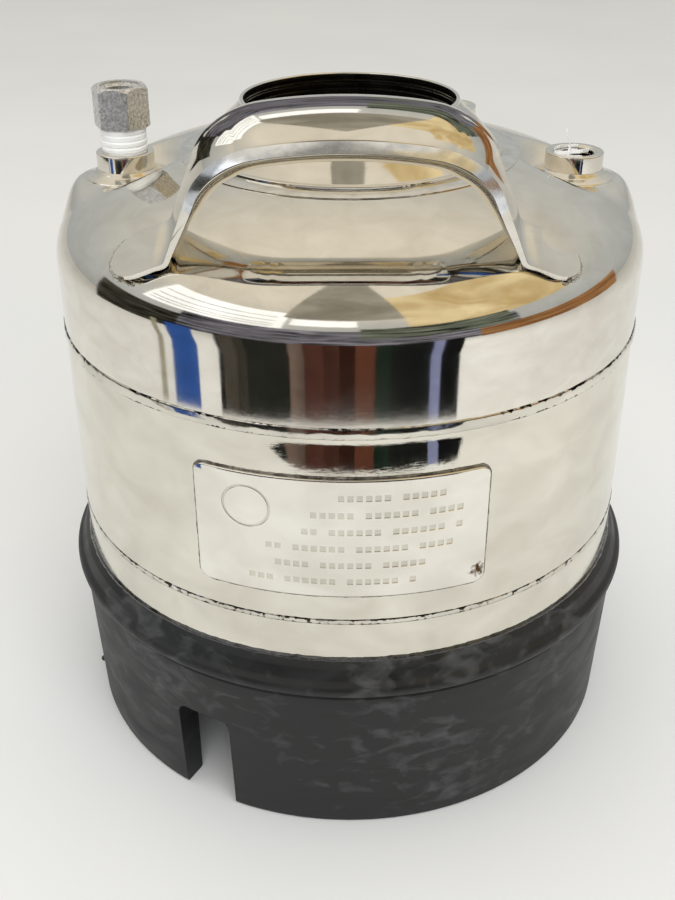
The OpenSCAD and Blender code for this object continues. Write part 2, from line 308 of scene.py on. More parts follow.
mirrorLook = {  # buffed to a mirror: only hairlines and finger smears stay
    "dark": "#D8D3C8", "light": "#E7E3DA", "smear": 14, "smearStretch": (1, 1, 2), "patch": 22,
    "line": 0.7, "lineStretch": (1, 0.12, 1), "lineTurn": (0.2, 0, 0.4),
    "crossStretch": (0.15, 1, 1), "crossTurn": (0, 0.5, -0.3),
    "rough": (0.04, 0.11), "relief": 0.09, "depth": 0.02, "dent": 0.03,
}
satinLook = {  # finished with a random orbital pad: hazy, with crossing swirls
    "dark": "#D2CDC0", "light": "#E6E2D6", "smear": 26, "smearStretch": (1, 1, 1.6), "patch": 12,
    "line": 0.5, "lineStretch": (1, 1, 0.1), "lineTurn": (0.5, 0.3, 0),
    "crossStretch": (0.14, 0.14, 1), "crossTurn": (-0.35, 0.2, 0.2),
    "rough": (0.08, 0.2), "relief": 0.16, "depth": 0.03, "dent": 0.07,
}
beadLook = {  # dressed weld metal: duller, rippled, straw coloured at its edges
    "dark": "#8F8A80", "light": "#DAD7D0", "smear": 3, "smearStretch": (1, 1, 1), "patch": 2.4,
    "line": 0.45, "lineStretch": (1, 1, 0.25), "lineTurn": (0, 0, 0),
    "crossStretch": (1, 1, 0.6), "crossTurn": (0.5, 0, 0.6),
    "rough": (0.16, 0.42), "relief": 0.5, "depth": 0.12, "dent": 0.5,
}
linishedLook = {  # ground flush with a belt, so its lines run round the neck
    "dark": "#CFCBC2", "light": "#E6E3DC", "smear": 6, "smearStretch": (1, 1, 3), "patch": 10,
    "line": 0.35, "lineStretch": (0.3, 0.3, 3), "lineTurn": (0, 0, 0),
    "crossStretch": (0.2, 1, 1), "crossTurn": (0, 0, 0.5),
    "rough": (0.08, 0.17), "relief": 0.16, "depth": 0.03, "dent": 0.05,
}
darkBeadLook = dict(beadLook, dark="#4E4A45", light="#B5B0A6", rough=(0.25, 0.55))
tarnishedLook = {  # bare bar stock gone dull: grey with a fine sparkle
    "dark": "#A6A7A6", "light": "#FFFFFF", "smear": 0.8, "smearStretch": (1, 1, 0.8), "patch": 5,
    "line": 0.45, "lineStretch": (1, 1, 0.7), "lineTurn": (0, 0, 0),
    "crossStretch": (1, 1, 1), "crossTurn": (0.5, 0.4, 0),
    "rough": (0.42, 0.65), "relief": 0.9, "depth": 0.06, "dent": 0.1,
}
cutEdgeLook = dict(satinLook, dark="#C4C8CF", light="#F2F4F8", smear=7, rough=(0.16, 0.34), relief=0.3)
innerShadeLook = {  # inside faces, rougher than the outside: steel painted dark as shade inside the vessel and the neck bore, with turning lines
    "dark": "#2B2925", "light": "#55514A", "smear": 5, "smearStretch": (0.2, 0.2, 3), "patch": 8,
    "line": 0.5, "lineStretch": (0.1, 0.1, 3), "lineTurn": (0, 0, 0),
    "crossStretch": (0.2, 0.2, 2), "crossTurn": (0, 0, 0),
    "rough": (0.22, 0.4), "relief": 0.4, "depth": 0.05, "dent": 0.1,
}
girthLook = dict(satinLook, dark="#C4C0B6", seam=176.5, half=1.75, ragged=0.9, scorch="#1D1B18",
                 relief=0.3, dent=0.4)
lowerGirthLook = dict(girthLook, seam=99.5, half=0.75, ragged=1.1, scorch="#35322D")
plateLook = dict(satinLook, dark="#DDD9CE", light="#EFECE3",
                 spot={"centre": (45.9, -106, 117), "reach": 3, "core": 1.2, "tint": "#4A3413"})
mirrorSteel = steel("buffedStainlessSteel", mirrorLook)
plateSteel = steel("stampedStainlessPlate", plateLook)
satinSteel = steel("orbitalSandedStainlessSteel", satinLook)
bandSteel = steel("halfPolishedStainlessSteel", dict(satinLook, polished=(153, 163)))
stampSteel = steel("stampedMarkSteel", dict(satinLook, dark="#C9C5B9", light="#DEDACF", rough=(0.16, 0.28)))
beadSteel = steel("dressedWeldBead", beadLook)
darkBeadSteel = steel("scorchedWeldBead", darkBeadLook)
linishedSteel = steel("linishedWeldBand", linishedLook)
tarnishedSteel = steel("tarnishedBarSteel", tarnishedLook)
cutEdgeSteel = steel("brushedCutEdge", cutEdgeLook)
# this near-black steel is painted shade for the inside of the vessel and the neck bore
innerShadeSteel = steel("innerPaintedShadeSteel", innerShadeLook)
girthSteel = steel("dressedGirthBead", girthLook)
lowerGirthSteel = steel("flatGirthBead", lowerGirthLook)


def tapeFilm():
    # thread seal tape: thin stretched white film, soft and slightly see-through
    material, tree, shader, place = start("stretchedSealTape")
    shader.inputs["Subsurface Weight"].default_value = 0.25
    shader.inputs["Subsurface Radius"].default_value = (0.002, 0.002, 0.002)
    strands = grain(tree, stretch(tree, place, (0.3, 0.3, 3)), 0.9, 4)
    tint = ramp(tree, strands, [(0.3, "#EEF1F3"), (0.7, "#FFFFFF")])
    rough = ramp(tree, strands, [(0.3, 0.38), (0.7, 0.6)])
    bump = add(tree, "Bump", {"Strength": 0.5, "Distance": 0.15 * mm}, {"Height": strands}).outputs[0]
    wire(tree, shader, tint, rough, bump)
    return material


def dustyRubber():
    # moulded carbon-black rubber: satin skin, grey dust and cloudy scuffs
    material, tree, shader, place = start("mouldedBlackRubber")
    shader.inputs["Specular IOR Level"].default_value = 0.45
    dust = grain(tree, stretch(tree, place, (1, 1, 2.5)), 24, 6, 0.8)
    scuff = grain(tree, stretch(tree, place, (1, 1, 1.9)), 11, 9, 0.75)
    patch = grain(tree, place, 46, 3)
    skin = grain(tree, place, 0.8, 3)
    both = add(tree, "Math", links={0: scuff, 1: patch}, operation="MULTIPLY").outputs[0]
    scuffed = ramp(tree, both, [(0.28, 0.0), (0.42, 0.6)])
    base = ramp(tree, dust, [(0.35, "#111213"), (0.7, "#202223")])
    tint = add(tree, "Mix", {7: colour("#4E5051")}, {"Factor": scuffed, 6: base}, data_type="RGBA").outputs[2]
    rough = ramp(tree, dust, [(0.3, 0.42), (0.7, 0.62)])
    bump = add(tree, "Bump", {"Strength": 0.25, "Distance": 0.08 * mm}, {"Height": skin}).outputs[0]
    wave = add(tree, "Bump", {"Strength": 0.3, "Distance": 0.5 * mm},
               {"Height": dust, "Normal": bump}).outputs[0]
    wire(tree, shader, tint, rough, wave)
    return material


def wetSealant():
    # cured sealant squeezed out in a thin bead: dark, glossy and lumpy
    material, tree, shader, place = start("curedSealant")
    shader.inputs["Coat Weight"].default_value = 0.6
    lumps = grain(tree, place, 2.2, 4)
    tint = ramp(tree, lumps, [(0.35, "#171716"), (0.7, "#3A3935")])
    rough = ramp(tree, lumps, [(0.3, 0.12), (0.7, 0.35)])
    bump = add(tree, "Bump", {"Strength": 0.8, "Distance": 0.4 * mm}, {"Height": lumps}).outputs[0]
    wire(tree, shader, tint, rough, bump)
    return material


sealTape = tapeFilm()
blackRubber = dustyRubber()
sealant = wetSealant()
print("materials made")


def finish(piece, node, material, degrees=35):
    # a finished piece stands for one CAD node: it is smoothed, takes its finish and joins the root body, and the
    # node is hidden
    smooth(piece, degrees)
    piece.data.materials.clear()
    piece.data.materials.append(material)
    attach(piece, "root")
    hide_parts(node)
    return piece


def lineWith(piece, material, inside):
    # gives the faces that the test picks another finish
    piece.data.materials.append(material)
    for face in piece.data.polygons:
        if inside(face.center / mm, face.normal):
            face.material_index = len(piece.data.materials) - 1


def facesIn(centre, normal):
    return normal.dot(Vector((centre.x, centre.y, centre.z - 150))) < 0


# vessel

vessel = {"radius": 114.3, "wall": 2, "upperSeam": 176.5, "lowerSeam": 99.5, "flange": 26.6,
          "rise": 41.55, "power": 2.24, "neckHole": 61.2}
upperTangent = vessel["upperSeam"] + vessel["flange"]
lowerTangent = vessel["lowerSeam"] - vessel["flange"]


def domeHeight(r):
    # height of the upper head's outer surface
    return upperTangent + vessel["rise"] * (1 - (r / vessel["radius"]) ** vessel["power"]) ** (
        1 / vessel["power"])


def domeCurve(lastRadius, steps):
    # outline of a dome from its widest point inwards, height above its widest point
    power = 2 / vessel["power"]
    lastTurn = math.acos((lastRadius / vessel["radius"]) ** (1 / power))
    return [(vessel["radius"] * math.cos(turn) ** power, vessel["rise"] * math.sin(turn) ** power)
            for turn in span(0, lastTurn, steps)]


port = {"reach": 86.4, "top": 238, "radius": 11.1, "bore": 7.4, "length": 19, "rearBearing": 59,
        "seatHeight": 229.8, "seatDip": 1.8, "seatFlat": 12, "seatEdge": 17.5, "seatBlend": 10}
bearings = {"left": 180, "right": 0, "rear": port["rearBearing"]}


def atPort(side, height=0):
    turn = Matrix.Rotation(math.radians(bearings[side]), 4, "Z")
    return turn @ Matrix.Translation((port["reach"] * mm, 0, height * mm))


def pressSeats(piece):
    # presses a flat seat with a shallow ring valley into the head round each port
    centres = [atPort(side).translation for side in bearings]
    for vertex in piece.data.vertices:
        for centre in centres:
            away = math.hypot(vertex.co.x - centre.x, vertex.co.y - centre.y) / mm
            dip = port["seatDip"] * ease((away - port["seatFlat"]) / (port["seatEdge"] - port["seatFlat"]))
            hold = 1 - ease((away - port["seatEdge"]) / port["seatBlend"])
            vertex.co.z += ((port["seatHeight"] - dip) * mm - vertex.co.z) * hold


def topHead():
    skirt = [(vessel["radius"], z) for z in span(vessel["upperSeam"], upperTangent, 8)[:-1]]
    dome = [(r, upperTangent + z) for r, z in domeCurve(vessel["neckHole"], 58)]
    piece = turned("topHeadShell", skirt + dome, steps=256, closed=False)
    pressSeats(piece)
    apply(piece, "SOLIDIFY", thickness=vessel["wall"] * mm, offset=-1)
    for side in bearings:
        hole = turned("hole", [(0, 215), (port["radius"], 215), (port["radius"], 245), (0, 245)], 64, False)
        cut(piece, settle(hole, atPort(side)))
    return finish(piece, "top_head", mirrorSteel, 50)


# the welds of the plate and the girth pull the sheet in between them; bearings in degrees
pull = {"depth": 0.62, "low": 157.5, "rise": 14.5, "bearing": 4.5, "half": 13, "blend": 10}


def drawIn(x, y, z):
    turn = math.degrees(math.atan2(x, -y))
    rise = min(max((z - pull["low"]) / pull["rise"], 0), 1)
    return pull["depth"] * rise * (1 - ease((abs(turn - pull["bearing"]) - pull["half"]) / pull["blend"]))


def shellBand():
    r, wall = vessel["radius"], vessel["wall"]
    low, high = vessel["lowerSeam"], vessel["upperSeam"]
    outside = [(r, z) for z in span(low, high, 44)]
    inside = [(r - wall, z) for z in span(high, low, 4)]
    piece = turned("shellBandSheet", outside + inside, steps=256)
    for vertex in piece.data.vertices:
        x, y, z = vertex.co / mm
        inward = 1 - drawIn(x, y, z) / r
        vertex.co.x *= inward
        vertex.co.y *= inward
    return finish(piece, "shell_band", bandSteel)


def bottomHead():
    wall = vessel["wall"]
    scale = (vessel["radius"] - wall) / vessel["radius"]
    curve = domeCurve(0, 40)
    outside = [(r, lowerTangent - z) for r, z in reversed(curve)]
    inside = [(r * scale, lowerTangent - z * scale + wall * 0.2) for r, z in curve]
    chain = outside + [(vessel["radius"], vessel["lowerSeam"]),
                       (vessel["radius"] - wall, vessel["lowerSeam"])] + inside
    return finish(turned("bottomHeadShell", chain, steps=192, closed=False), "bottom_head", satinSteel, 50)


# the shells' inward faces take the steel painted dark as shade
for shell in (topHead(), shellBand(), bottomHead()):
    lineWith(shell, innerShadeSteel, facesIn)
print("vessel shells made")


# welds of the vessel

girth = {"width": 4.4, "rise": 0.6, "lowerWidth": 2.4, "lowerRise": 0.3}


def girthBead(name, z, width, rise):
    r = vessel["radius"]
    profile = [(r - 0.6, z - width / 2 - 0.2)]
    profile += [(r - 0.25 + (rise + 0.25) * math.cos(turn) ** 0.45, z + width / 2 * math.sin(turn))
                for turn in span(-1.5, 1.5, 13)]
    profile += [(r - 0.6, z + width / 2 + 0.2)]
    piece = turned(name, profile, steps=420)
    roughen(piece, 0.35, 5)
    roughen(piece, 0.12, 1.3)
    return piece


def longSeam():
    gap = girth["width"] / 2
    low, high = vessel["lowerSeam"] + gap, vessel["upperSeam"] - gap
    r = vessel["radius"]
    piece = box("longSeamBead", (-2, r - 0.5, low), (2, r + 0.6, high))
    bevelEdges(piece, lambda a, b, edge: min(a.y, b.y) > r and abs(a.x - b.x) < 0.1, 0.5, 3)
    slices(piece, Vector((0, 0, 1)), span(low + 1, high - 1, 60))
    slices(piece, Vector((1, 0, 0)), span(-1.2, 1.2, 5))
    roughen(piece, 0.3, 1.6)
    return piece


finish(girthBead("upperGirthBead", vessel["upperSeam"], girth["width"], girth["rise"]),
       "upper_girth_weld", girthSteel, 60)
finish(girthBead("lowerGirthBead", vessel["lowerSeam"], girth["lowerWidth"], girth["lowerRise"]),
       "lower_girth_weld", lowerGirthSteel, 60)
finish(longSeam(), "long_seam_weld", beadSteel, 60)


# neck

neck = {"bore": 39.9, "rim": 258.7, "base": 58.5, "lineDepths": (2.9, 3.9, 6.2, 10), "lineCut": 0.35,
        "bandWidth": 6.3}


def neckRing():
    rim, bore, base = neck["rim"], neck["bore"], neck["base"]
    foot = domeHeight(base)
    outside = [
        (base, foot - 5, 0), (base, foot + 1.1, 0.35), (base - 1.3, foot + 1.2, 0.3),
        (base - 1.9, foot + 1.3, 0.3), (52.6, foot + 5.6, 8),
        (48.2, foot + 10.4, 10), (43.4, foot + 14.6, 9), (bore + 1.6, rim - 1.2, 1.2),
        (bore + 1.3, rim, 0.55), (bore, rim, 0.5),
    ]
    inside = []
    for depth in neck["lineDepths"]:
        top, low = rim - depth + 0.25, rim - depth - 0.25
        inside += [(bore, top, 0.05), (bore + neck["lineCut"], top - 0.1, 0.05),
                   (bore + neck["lineCut"], low + 0.1, 0.05), (bore, low, 0.05)]
    inside.append((bore, foot - 5, 0))
    return finish(turned("flaredNeck", eased(outside + inside, steps=4), steps=224), "neck_ring", mirrorSteel)


def neckBand():
    inner, outer = neck["base"] - 0.1, neck["base"] + neck["bandWidth"]
    top = [(r, domeHeight(r) + 0.55 * math.sin(math.pi * min(1, 0.25 + (outer - r) / (outer - inner) * 0.75)))
           for r in span(outer, inner, 9)]
    chain = [(inner, domeHeight(inner) - 3), (vessel["neckHole"], domeHeight(inner) - 3),
             (vessel["neckHole"], domeHeight(vessel["neckHole"]) - 0.3), (outer, domeHeight(outer) - 0.2)]
    piece = turned("neckWeldBand", chain + top, steps=300)
    roughen(piece, 0.12, 5)
    return finish(piece, "neck_weld", linishedSteel, 40)


# the neck bore's inward faces take the steel painted dark as shade
lineWith(neckRing(), innerShadeSteel, lambda centre, normal: centre.z < neck["rim"] - 1 and normal.dot(
    Vector((centre.x, centre.y, 0)).normalized()) < -0.3)
neckBand()
print("neck made")


# ports

thread = {"pitch": 1.41, "depth": 0.75, "length": 13}


def coupling(side):
    bore, radius, length = port["bore"], port["radius"], port["length"]
    outside = [(bore, 0, 0), (radius, 0, 0.4), (radius, length, 0.55), (bore + 1.3, length, 0.15)]
    inside = []
    for turn in range(int(thread["length"] / thread["pitch"])):
        z = length - 0.9 - turn * thread["pitch"]
        inside += [(bore, z, 0), (bore, z - 0.15, 0), (bore + thread["depth"], z - 0.7, 0),
                   (bore + thread["depth"], z - 0.85, 0)]
    piece = turned(side + "Coupling", eased(outside + inside), steps=96)
    settle(piece, atPort(side, port["top"] - length))
    return finish(piece, side + "_port_coupling", mirrorSteel)


def portBead(side):
    # fillet bead, drawn out on to the seat and ground smooth
    r, seat = port["radius"], port["seatHeight"]
    profile = [(r - 0.2, seat - 1.6, 0), (r + 4.9, seat - 1.6, 0), (r + 4.6, seat - 0.9, 0.8),
               (r + 1.5, seat + 0.45, 2.2), (r + 0.35, seat + 1.9, 0.5), (r - 0.2, seat + 1.9, 0)]
    piece = turned(side + "PortBead", eased(profile), steps=120)
    roughen(piece, 0.3, 4.5)
    settle(piece, atPort(side))
    return finish(piece, side + "_port_weld", mirrorSteel, 60)


for side in bearings:
    coupling(side)
    portBead(side)
print("ports made")


# adapter and tape

adapter = {"flats": 19.05, "height": 15, "top": 262.5, "bore": 6, "turn": 23.4, "stub": 8.2,
           "chamfer": 1.5, "tape": 8.7, "engaged": 9}
hexLow = adapter["top"] - adapter["height"]


def hexAdapter():
    corner = adapter["flats"] / 2 / math.cos(math.pi / 6)
    deselectAll()
    bpy.ops.mesh.primitive_cylinder_add(
        vertices=6, radius=corner * mm, depth=adapter["height"] * mm,
        location=(0, 0, (hexLow + adapter["height"] / 2) * mm),
        rotation=(0, 0, math.radians(adapter["turn"])))
    piece = bpy.context.object
    piece.name = "hexAdapterBody"
    bpy.ops.object.transform_apply(location=True, rotation=True, scale=True)
    bevelEdges(piece, lambda a, b, edge: abs(a.z - b.z) > 5, 0.35, 3)
    flat = adapter["flats"] / 2 - 0.3
    crown = [(0, hexLow - 12), (corner - 0.7, hexLow - 12), (corner - 0.7, hexLow),
             (corner + 0.1, hexLow + 0.7), (corner + 0.1, adapter["top"] - adapter["chamfer"]),
             (flat, adapter["top"]), (0, adapter["top"])]
    cut(piece, turned("crown", crown, 96, False), "INTERSECT")
    stub = [(0, hexLow + 2), (adapter["stub"], hexLow + 2), (adapter["stub"], port["top"]),
            (port["bore"], port["top"] - 0.5), (port["bore"], port["top"] - adapter["engaged"]),
            (0, port["top"] - adapter["engaged"])]
    cut(piece, turned("stub", stub, 96, False), "UNION")
    hole = [(0, adapter["top"] + 1), (adapter["bore"] + 1.6, adapter["top"] + 1),
            (adapter["bore"] + 1.2, adapter["top"] - 0.8)]
    for turn in range(8):
        z = adapter["top"] - 1.2 - turn * thread["pitch"]
        hole += [(adapter["bore"] + 0.75, z), (adapter["bore"], z - 0.6), (adapter["bore"], z - 0.8)]
    hole += [(adapter["bore"], port["top"] - 20), (0, port["top"] - 20)]
    cut(piece, turned("hole", hole, 96, False))
    settle(piece, atPort("left"))
    return finish(piece, "hex_adapter", tarnishedSteel, 30)


def tapeWrap():
    low, high, r = port["top"] - 0.3, hexLow + 0.2, adapter["tape"]
    inner = adapter["stub"] - 0.1
    turns = [(inner + 0.3, low, 0), (r - 0.35, low + 0.4, 0.3)]
    rings = 4
    step = (high - low - 1) / rings
    for ring in range(rings):
        z = low + 0.6 + ring * step
        swell = 0.1 * math.sin(ring * 2.1)
        turns += [(r + swell, z + step * 0.25, 0.4), (r + 0.06 + swell, z + step * 0.8, 0.3),
                  (r - 0.3, z + step * 0.97, 0.1)]
    turns += [(r - 0.3, high, 0.1), (inner, high, 0), (inner, low, 0)]
    piece = turned("tapeWrap", eased(turns, steps=3), steps=140)
    roughen(piece, 0.3, 3.5)
    settle(piece, atPort("left"))
    return finish(piece, "thread_tape", sealTape, 50)


def ribbon(name, along, across, route):
    # a thin strip laid by route(t, v), t along it and v across it
    deselectAll()
    bpy.ops.mesh.primitive_grid_add(x_subdivisions=along, y_subdivisions=across, size=1)
    piece = bpy.context.object
    piece.name = name
    for vertex in piece.data.vertices:
        vertex.co = route(vertex.co.x + 0.5, vertex.co.y) * mm
    return piece


def tapeScrap():
    # a torn turn stuck in the thread, with a thin curl standing up from it
    top, bore = port["top"], port["bore"]

    def stuck(t, v):
        turn = math.radians(70 + 210 * t)
        fray = 1 + 0.5 * noise.noise(Vector((t * 9, v, 0)))
        r = bore + 0.35 - 0.5 * noise.noise(Vector((t * 6, v * 2, 3)))
        return Vector((r * math.cos(turn), r * math.sin(turn), top - 0.9 + v * 2.2 * fray))

    def shred(t, v):
        turn = math.radians(200 + 150 * t)
        r = bore + 1.6 - 4.4 * t + noise.noise(Vector((t * 4, 7, 1)))
        lift = 0.5 + 1.3 * math.sin(t * 3) + v * 1.5
        return Vector((r * math.cos(turn) + v * 0.8, r * math.sin(turn), top - 0.5 + lift))

    def curl(t, v):
        bend = math.sin(t * 5.2)
        width = 0.75 * (1 - 0.6 * t)
        x, y = -3.1 + 0.9 * bend - v * width, -2.2 + 1.5 * t + 0.6 * bend
        return Vector((x, y, top - 1 + 9.4 * t + v * 0.5))

    strips = [ribbon("tapeScrapTurn", 46, 5, stuck), ribbon("shred", 30, 4, shred),
              ribbon("curl", 36, 3, curl)]
    for strip in strips:
        apply(strip, "SOLIDIFY", thickness=0.12 * mm, offset=0)
    deselectAll()
    for strip in strips:
        strip.select_set(True)
    bpy.context.view_layer.objects.active = strips[0]
    bpy.ops.object.join()
    piece = settle(strips[0], atPort("right"))
    return finish(piece, "tape_scrap", sealTape, 60)


hexAdapter()
tapeWrap()
tapeScrap()
print("adapter and tape made")


# handle

strap = {"width": 22.5, "sheet": 4.1, "footSheet": 1.7, "dish": 67, "dishPastKnee": 4, "dishFade": 50,
         "lean": 21, "height": 50, "crownRadius": 156, "crownHalf": 9.8, "cornerRadius": 29, "legLean": 20.7,
         "footSlope": 24, "footLength": 22.5, "footLift": 0.7, "footStart": 2.5, "bendRadius": 3.4,
         "edgeRadius": 0.5, "place": (-1.3, -66.5, 230.7)}
footWeld = {"gap": 0.3, "radius": 1.05, "sweep": 110}
strapPlace = Matrix.Translation(Vector(strap["place"]) * mm) @ Matrix.Rotation(
    math.radians(strap["lean"]), 4, "X")


def strapPath():
    # right half of the arch's outer line, from its top to the tip of its foot
    half, leg, slope = (math.radians(strap[key]) for key in ("crownHalf", "legLean", "footSlope"))
    gap = strap["crownRadius"] - strap["cornerRadius"]
    crown = Vector((0, strap["height"] - strap["crownRadius"]))
    corner = crown + gap * Vector((math.sin(half), math.cos(half)))
    path = [crown + strap["crownRadius"] * Vector((math.sin(a), math.cos(a))) for a in span(0, half, 16)]
    path += [corner + strap["cornerRadius"] * Vector((math.sin(a), math.cos(a)))
             for a in span(half, math.pi / 2 - leg, 30)[1:]]
    legTop = path[-1]
    footX = legTop.x + (legTop.y - strap["footLift"]) * math.tan(leg)
    footTop = Vector((footX - strap["footStart"], strap["footLift"] - 0.2))
    footTop += strap["footStart"] * Vector((math.sin(slope), math.cos(slope)))
    along = Vector((math.cos(slope), -math.sin(slope)))
    # where the leg's line meets the foot's line
    down = Vector((math.sin(leg), -math.cos(leg)))
    reach = (footTop - legTop).cross(along) / down.cross(along)
    knee = legTop + down * reach
    tip = footTop + along * strap["footLength"]
    bend = eased([(*legTop, 0), (*knee, strap["bendRadius"]), (*tip, 0)], closed=False, steps=8)
    return path + [Vector(p) for p in bend[1:]]


def measured(path):
    lengths = [0]
    for a, b in zip(path, path[1:]):
        lengths.append(lengths[-1] + (b - a).length)
    return lengths


def carryHandle():
    path = strapPath()
    lengths = measured(path)
    total = lengths[-1]
    kneeAt = total - strap["footLength"] + 1
    halfWidth = strap["width"] / 2

    def along(distance):
        index = max(i for i, d in enumerate(lengths[:-1]) if d <= distance)
        share = (distance - lengths[index]) / (lengths[index + 1] - lengths[index])
        step = path[index + 1] - path[index]
        return path[index] + step * share, step.normalized()

    def direction(distance):
        ahead = along(min(distance + 0.6, total))[0]
        return (ahead - along(max(distance - 0.6, 0))[0]).normalized()

    def section(distance, v):
        # a dished section: its edges turn up by the dish angle, which dies out at the foot
        left = (kneeAt + strap["dishPastKnee"] - distance) / strap["dishFade"]
        turn = math.radians(strap["dish"]) * min(max(left, 0.001), 1) ** 0.8
        y = halfWidth * math.sin(v * turn) / math.sin(turn)
        n = -halfWidth * (math.cos(v * turn) - math.cos(turn)) / math.sin(turn)
        tipLeft = (total - distance) / halfWidth
        if tipLeft < 1:
            y *= math.sqrt(max(1 - (1 - tipLeft) ** 2, 0.0004))
        return y, n

    def route(t, v):
        signed = (t - 0.5) * 2 * total
        distance = min(abs(signed), total - 0.001)
        run = direction(distance)
        y, n = section(distance, v * 2)
        point = along(distance)[0] + Vector((-run.y, run.x)) * n
        return Vector((math.copysign(1, signed) * point.x, y - halfWidth, point.y))

    piece = ribbon("pressedStrap", 300, 30, route)
    pick(piece)
    bpy.ops.object.mode_set(mode="EDIT")
    bpy.ops.mesh.select_all(action="SELECT")
    bpy.ops.mesh.remove_doubles(threshold=1e-5)
    bpy.ops.mesh.normals_make_consistent(inside=False)
    bpy.ops.object.mode_set(mode="OBJECT")
    if sum(face.normal.z for face in piece.data.polygons if abs(face.center.x) < 20 * mm) < 0:
        piece.data.flip_normals()
    # the sheet thins towards its feet
    group = piece.vertex_groups.new(name="sheet")
    for vertex in piece.data.vertices:
        share = ease((vertex.co.z / mm - 2) / (strap["height"] - 14))
        thickness = strap["footSheet"] + (strap["sheet"] - strap["footSheet"]) * share
        group.add([vertex.index], thickness / strap["sheet"], "REPLACE")
    apply(piece, "SOLIDIFY", thickness=strap["sheet"] * mm, offset=-1, vertex_group=group.name)
    bevelEdges(piece, lambda a, b, edge: edge.calc_face_angle(0) > 1.1, strap["edgeRadius"], 3)
    back = strapPlace.inverted()
    settle(piece, strapPlace)
    finish(piece, "carry_handle", mirrorSteel, 50)

    def onFrontEdge(centre, normal):
        place, facing = back @ (centre * mm) / mm, back.to_3x3() @ normal
        return place.y < -strap["width"] + 0.2 and -0.75 < facing.y < -0.12 and facing.z > -0.1

    lineWith(piece, cutEdgeSteel, onFrontEdge)


def footBead(side):
    # a short rough bead laid round the end of a foot
    sign = -1 if side == "left" else 1
    slope = math.radians(strap["footSlope"])
    tip = strapPath()[-1]
    along = Vector((math.cos(slope), -math.sin(slope)))
    under = Vector((-math.sin(slope), -math.cos(slope)))
    centre = tip - along * strap["width"] / 2 + under * strap["footSheet"]
    reach = strap["width"] / 2 + footWeld["gap"]
    ring = [(reach + footWeld["radius"] * math.cos(a), footWeld["radius"] * (0.4 + math.sin(a)))
            for a in span(0, math.tau, 13)[:-1]]
    piece = turned(side + "FootBead", ring, steps=100, angle=math.radians(footWeld["sweep"]))
    pick(piece)
    bpy.ops.object.mode_set(mode="EDIT")
    bpy.ops.mesh.select_all(action="DESELECT")
    bpy.ops.mesh.select_non_manifold(extend=False)
    bpy.ops.mesh.edge_face_add()
    bpy.ops.mesh.select_all(action="SELECT")
    bpy.ops.mesh.normals_make_consistent(inside=False)
    bpy.ops.object.mode_set(mode="OBJECT")
    apply(piece, "TRIANGULATE")
    roughen(piece, 0.9, 1.6)
    turn = footWeld["sweep"] / 2 + (0 if sign > 0 else 180)
    local = Matrix.Translation(Vector((sign * centre.x, -strap["width"] / 2, centre.y)) * mm)
    local = local @ Matrix.Rotation(sign * slope, 4, "Y") @ Matrix.Rotation(math.radians(turn), 4, "Z")
    settle(piece, strapPlace @ local)
    return finish(piece, side + "_foot_weld", beadSteel, 60)


carryHandle()
footBead("left")
footBead("right")
print("handle made")


# data plate

plate = {"width": 101, "height": 48, "low": 111.5, "middle": -2.4, "sheet": 1.2, "corner": 3.6,
         "dashPitch": 3.1, "dash": 2.1, "stroke": 2.4, "strokeDepth": 0.3,
         "rowEnds": [(-34, 25), (-26, 28), (-29, 37), (-17, 38), (-14, 38), (-4, 34)],
         "ring": (-34.8, 146.3), "ringRadius": 7.6}


def bendRound(piece):
    # bends a flat sheet at y = -radius round the shell, keeping its straight width
    r = vessel["radius"]
    for vertex in piece.data.vertices:
        x, y, z = vertex.co / mm
        depth = -y
        turn = math.asin(x / r)
        vertex.co = Vector((depth * math.sin(turn), -depth * math.cos(turn), z)) * mm


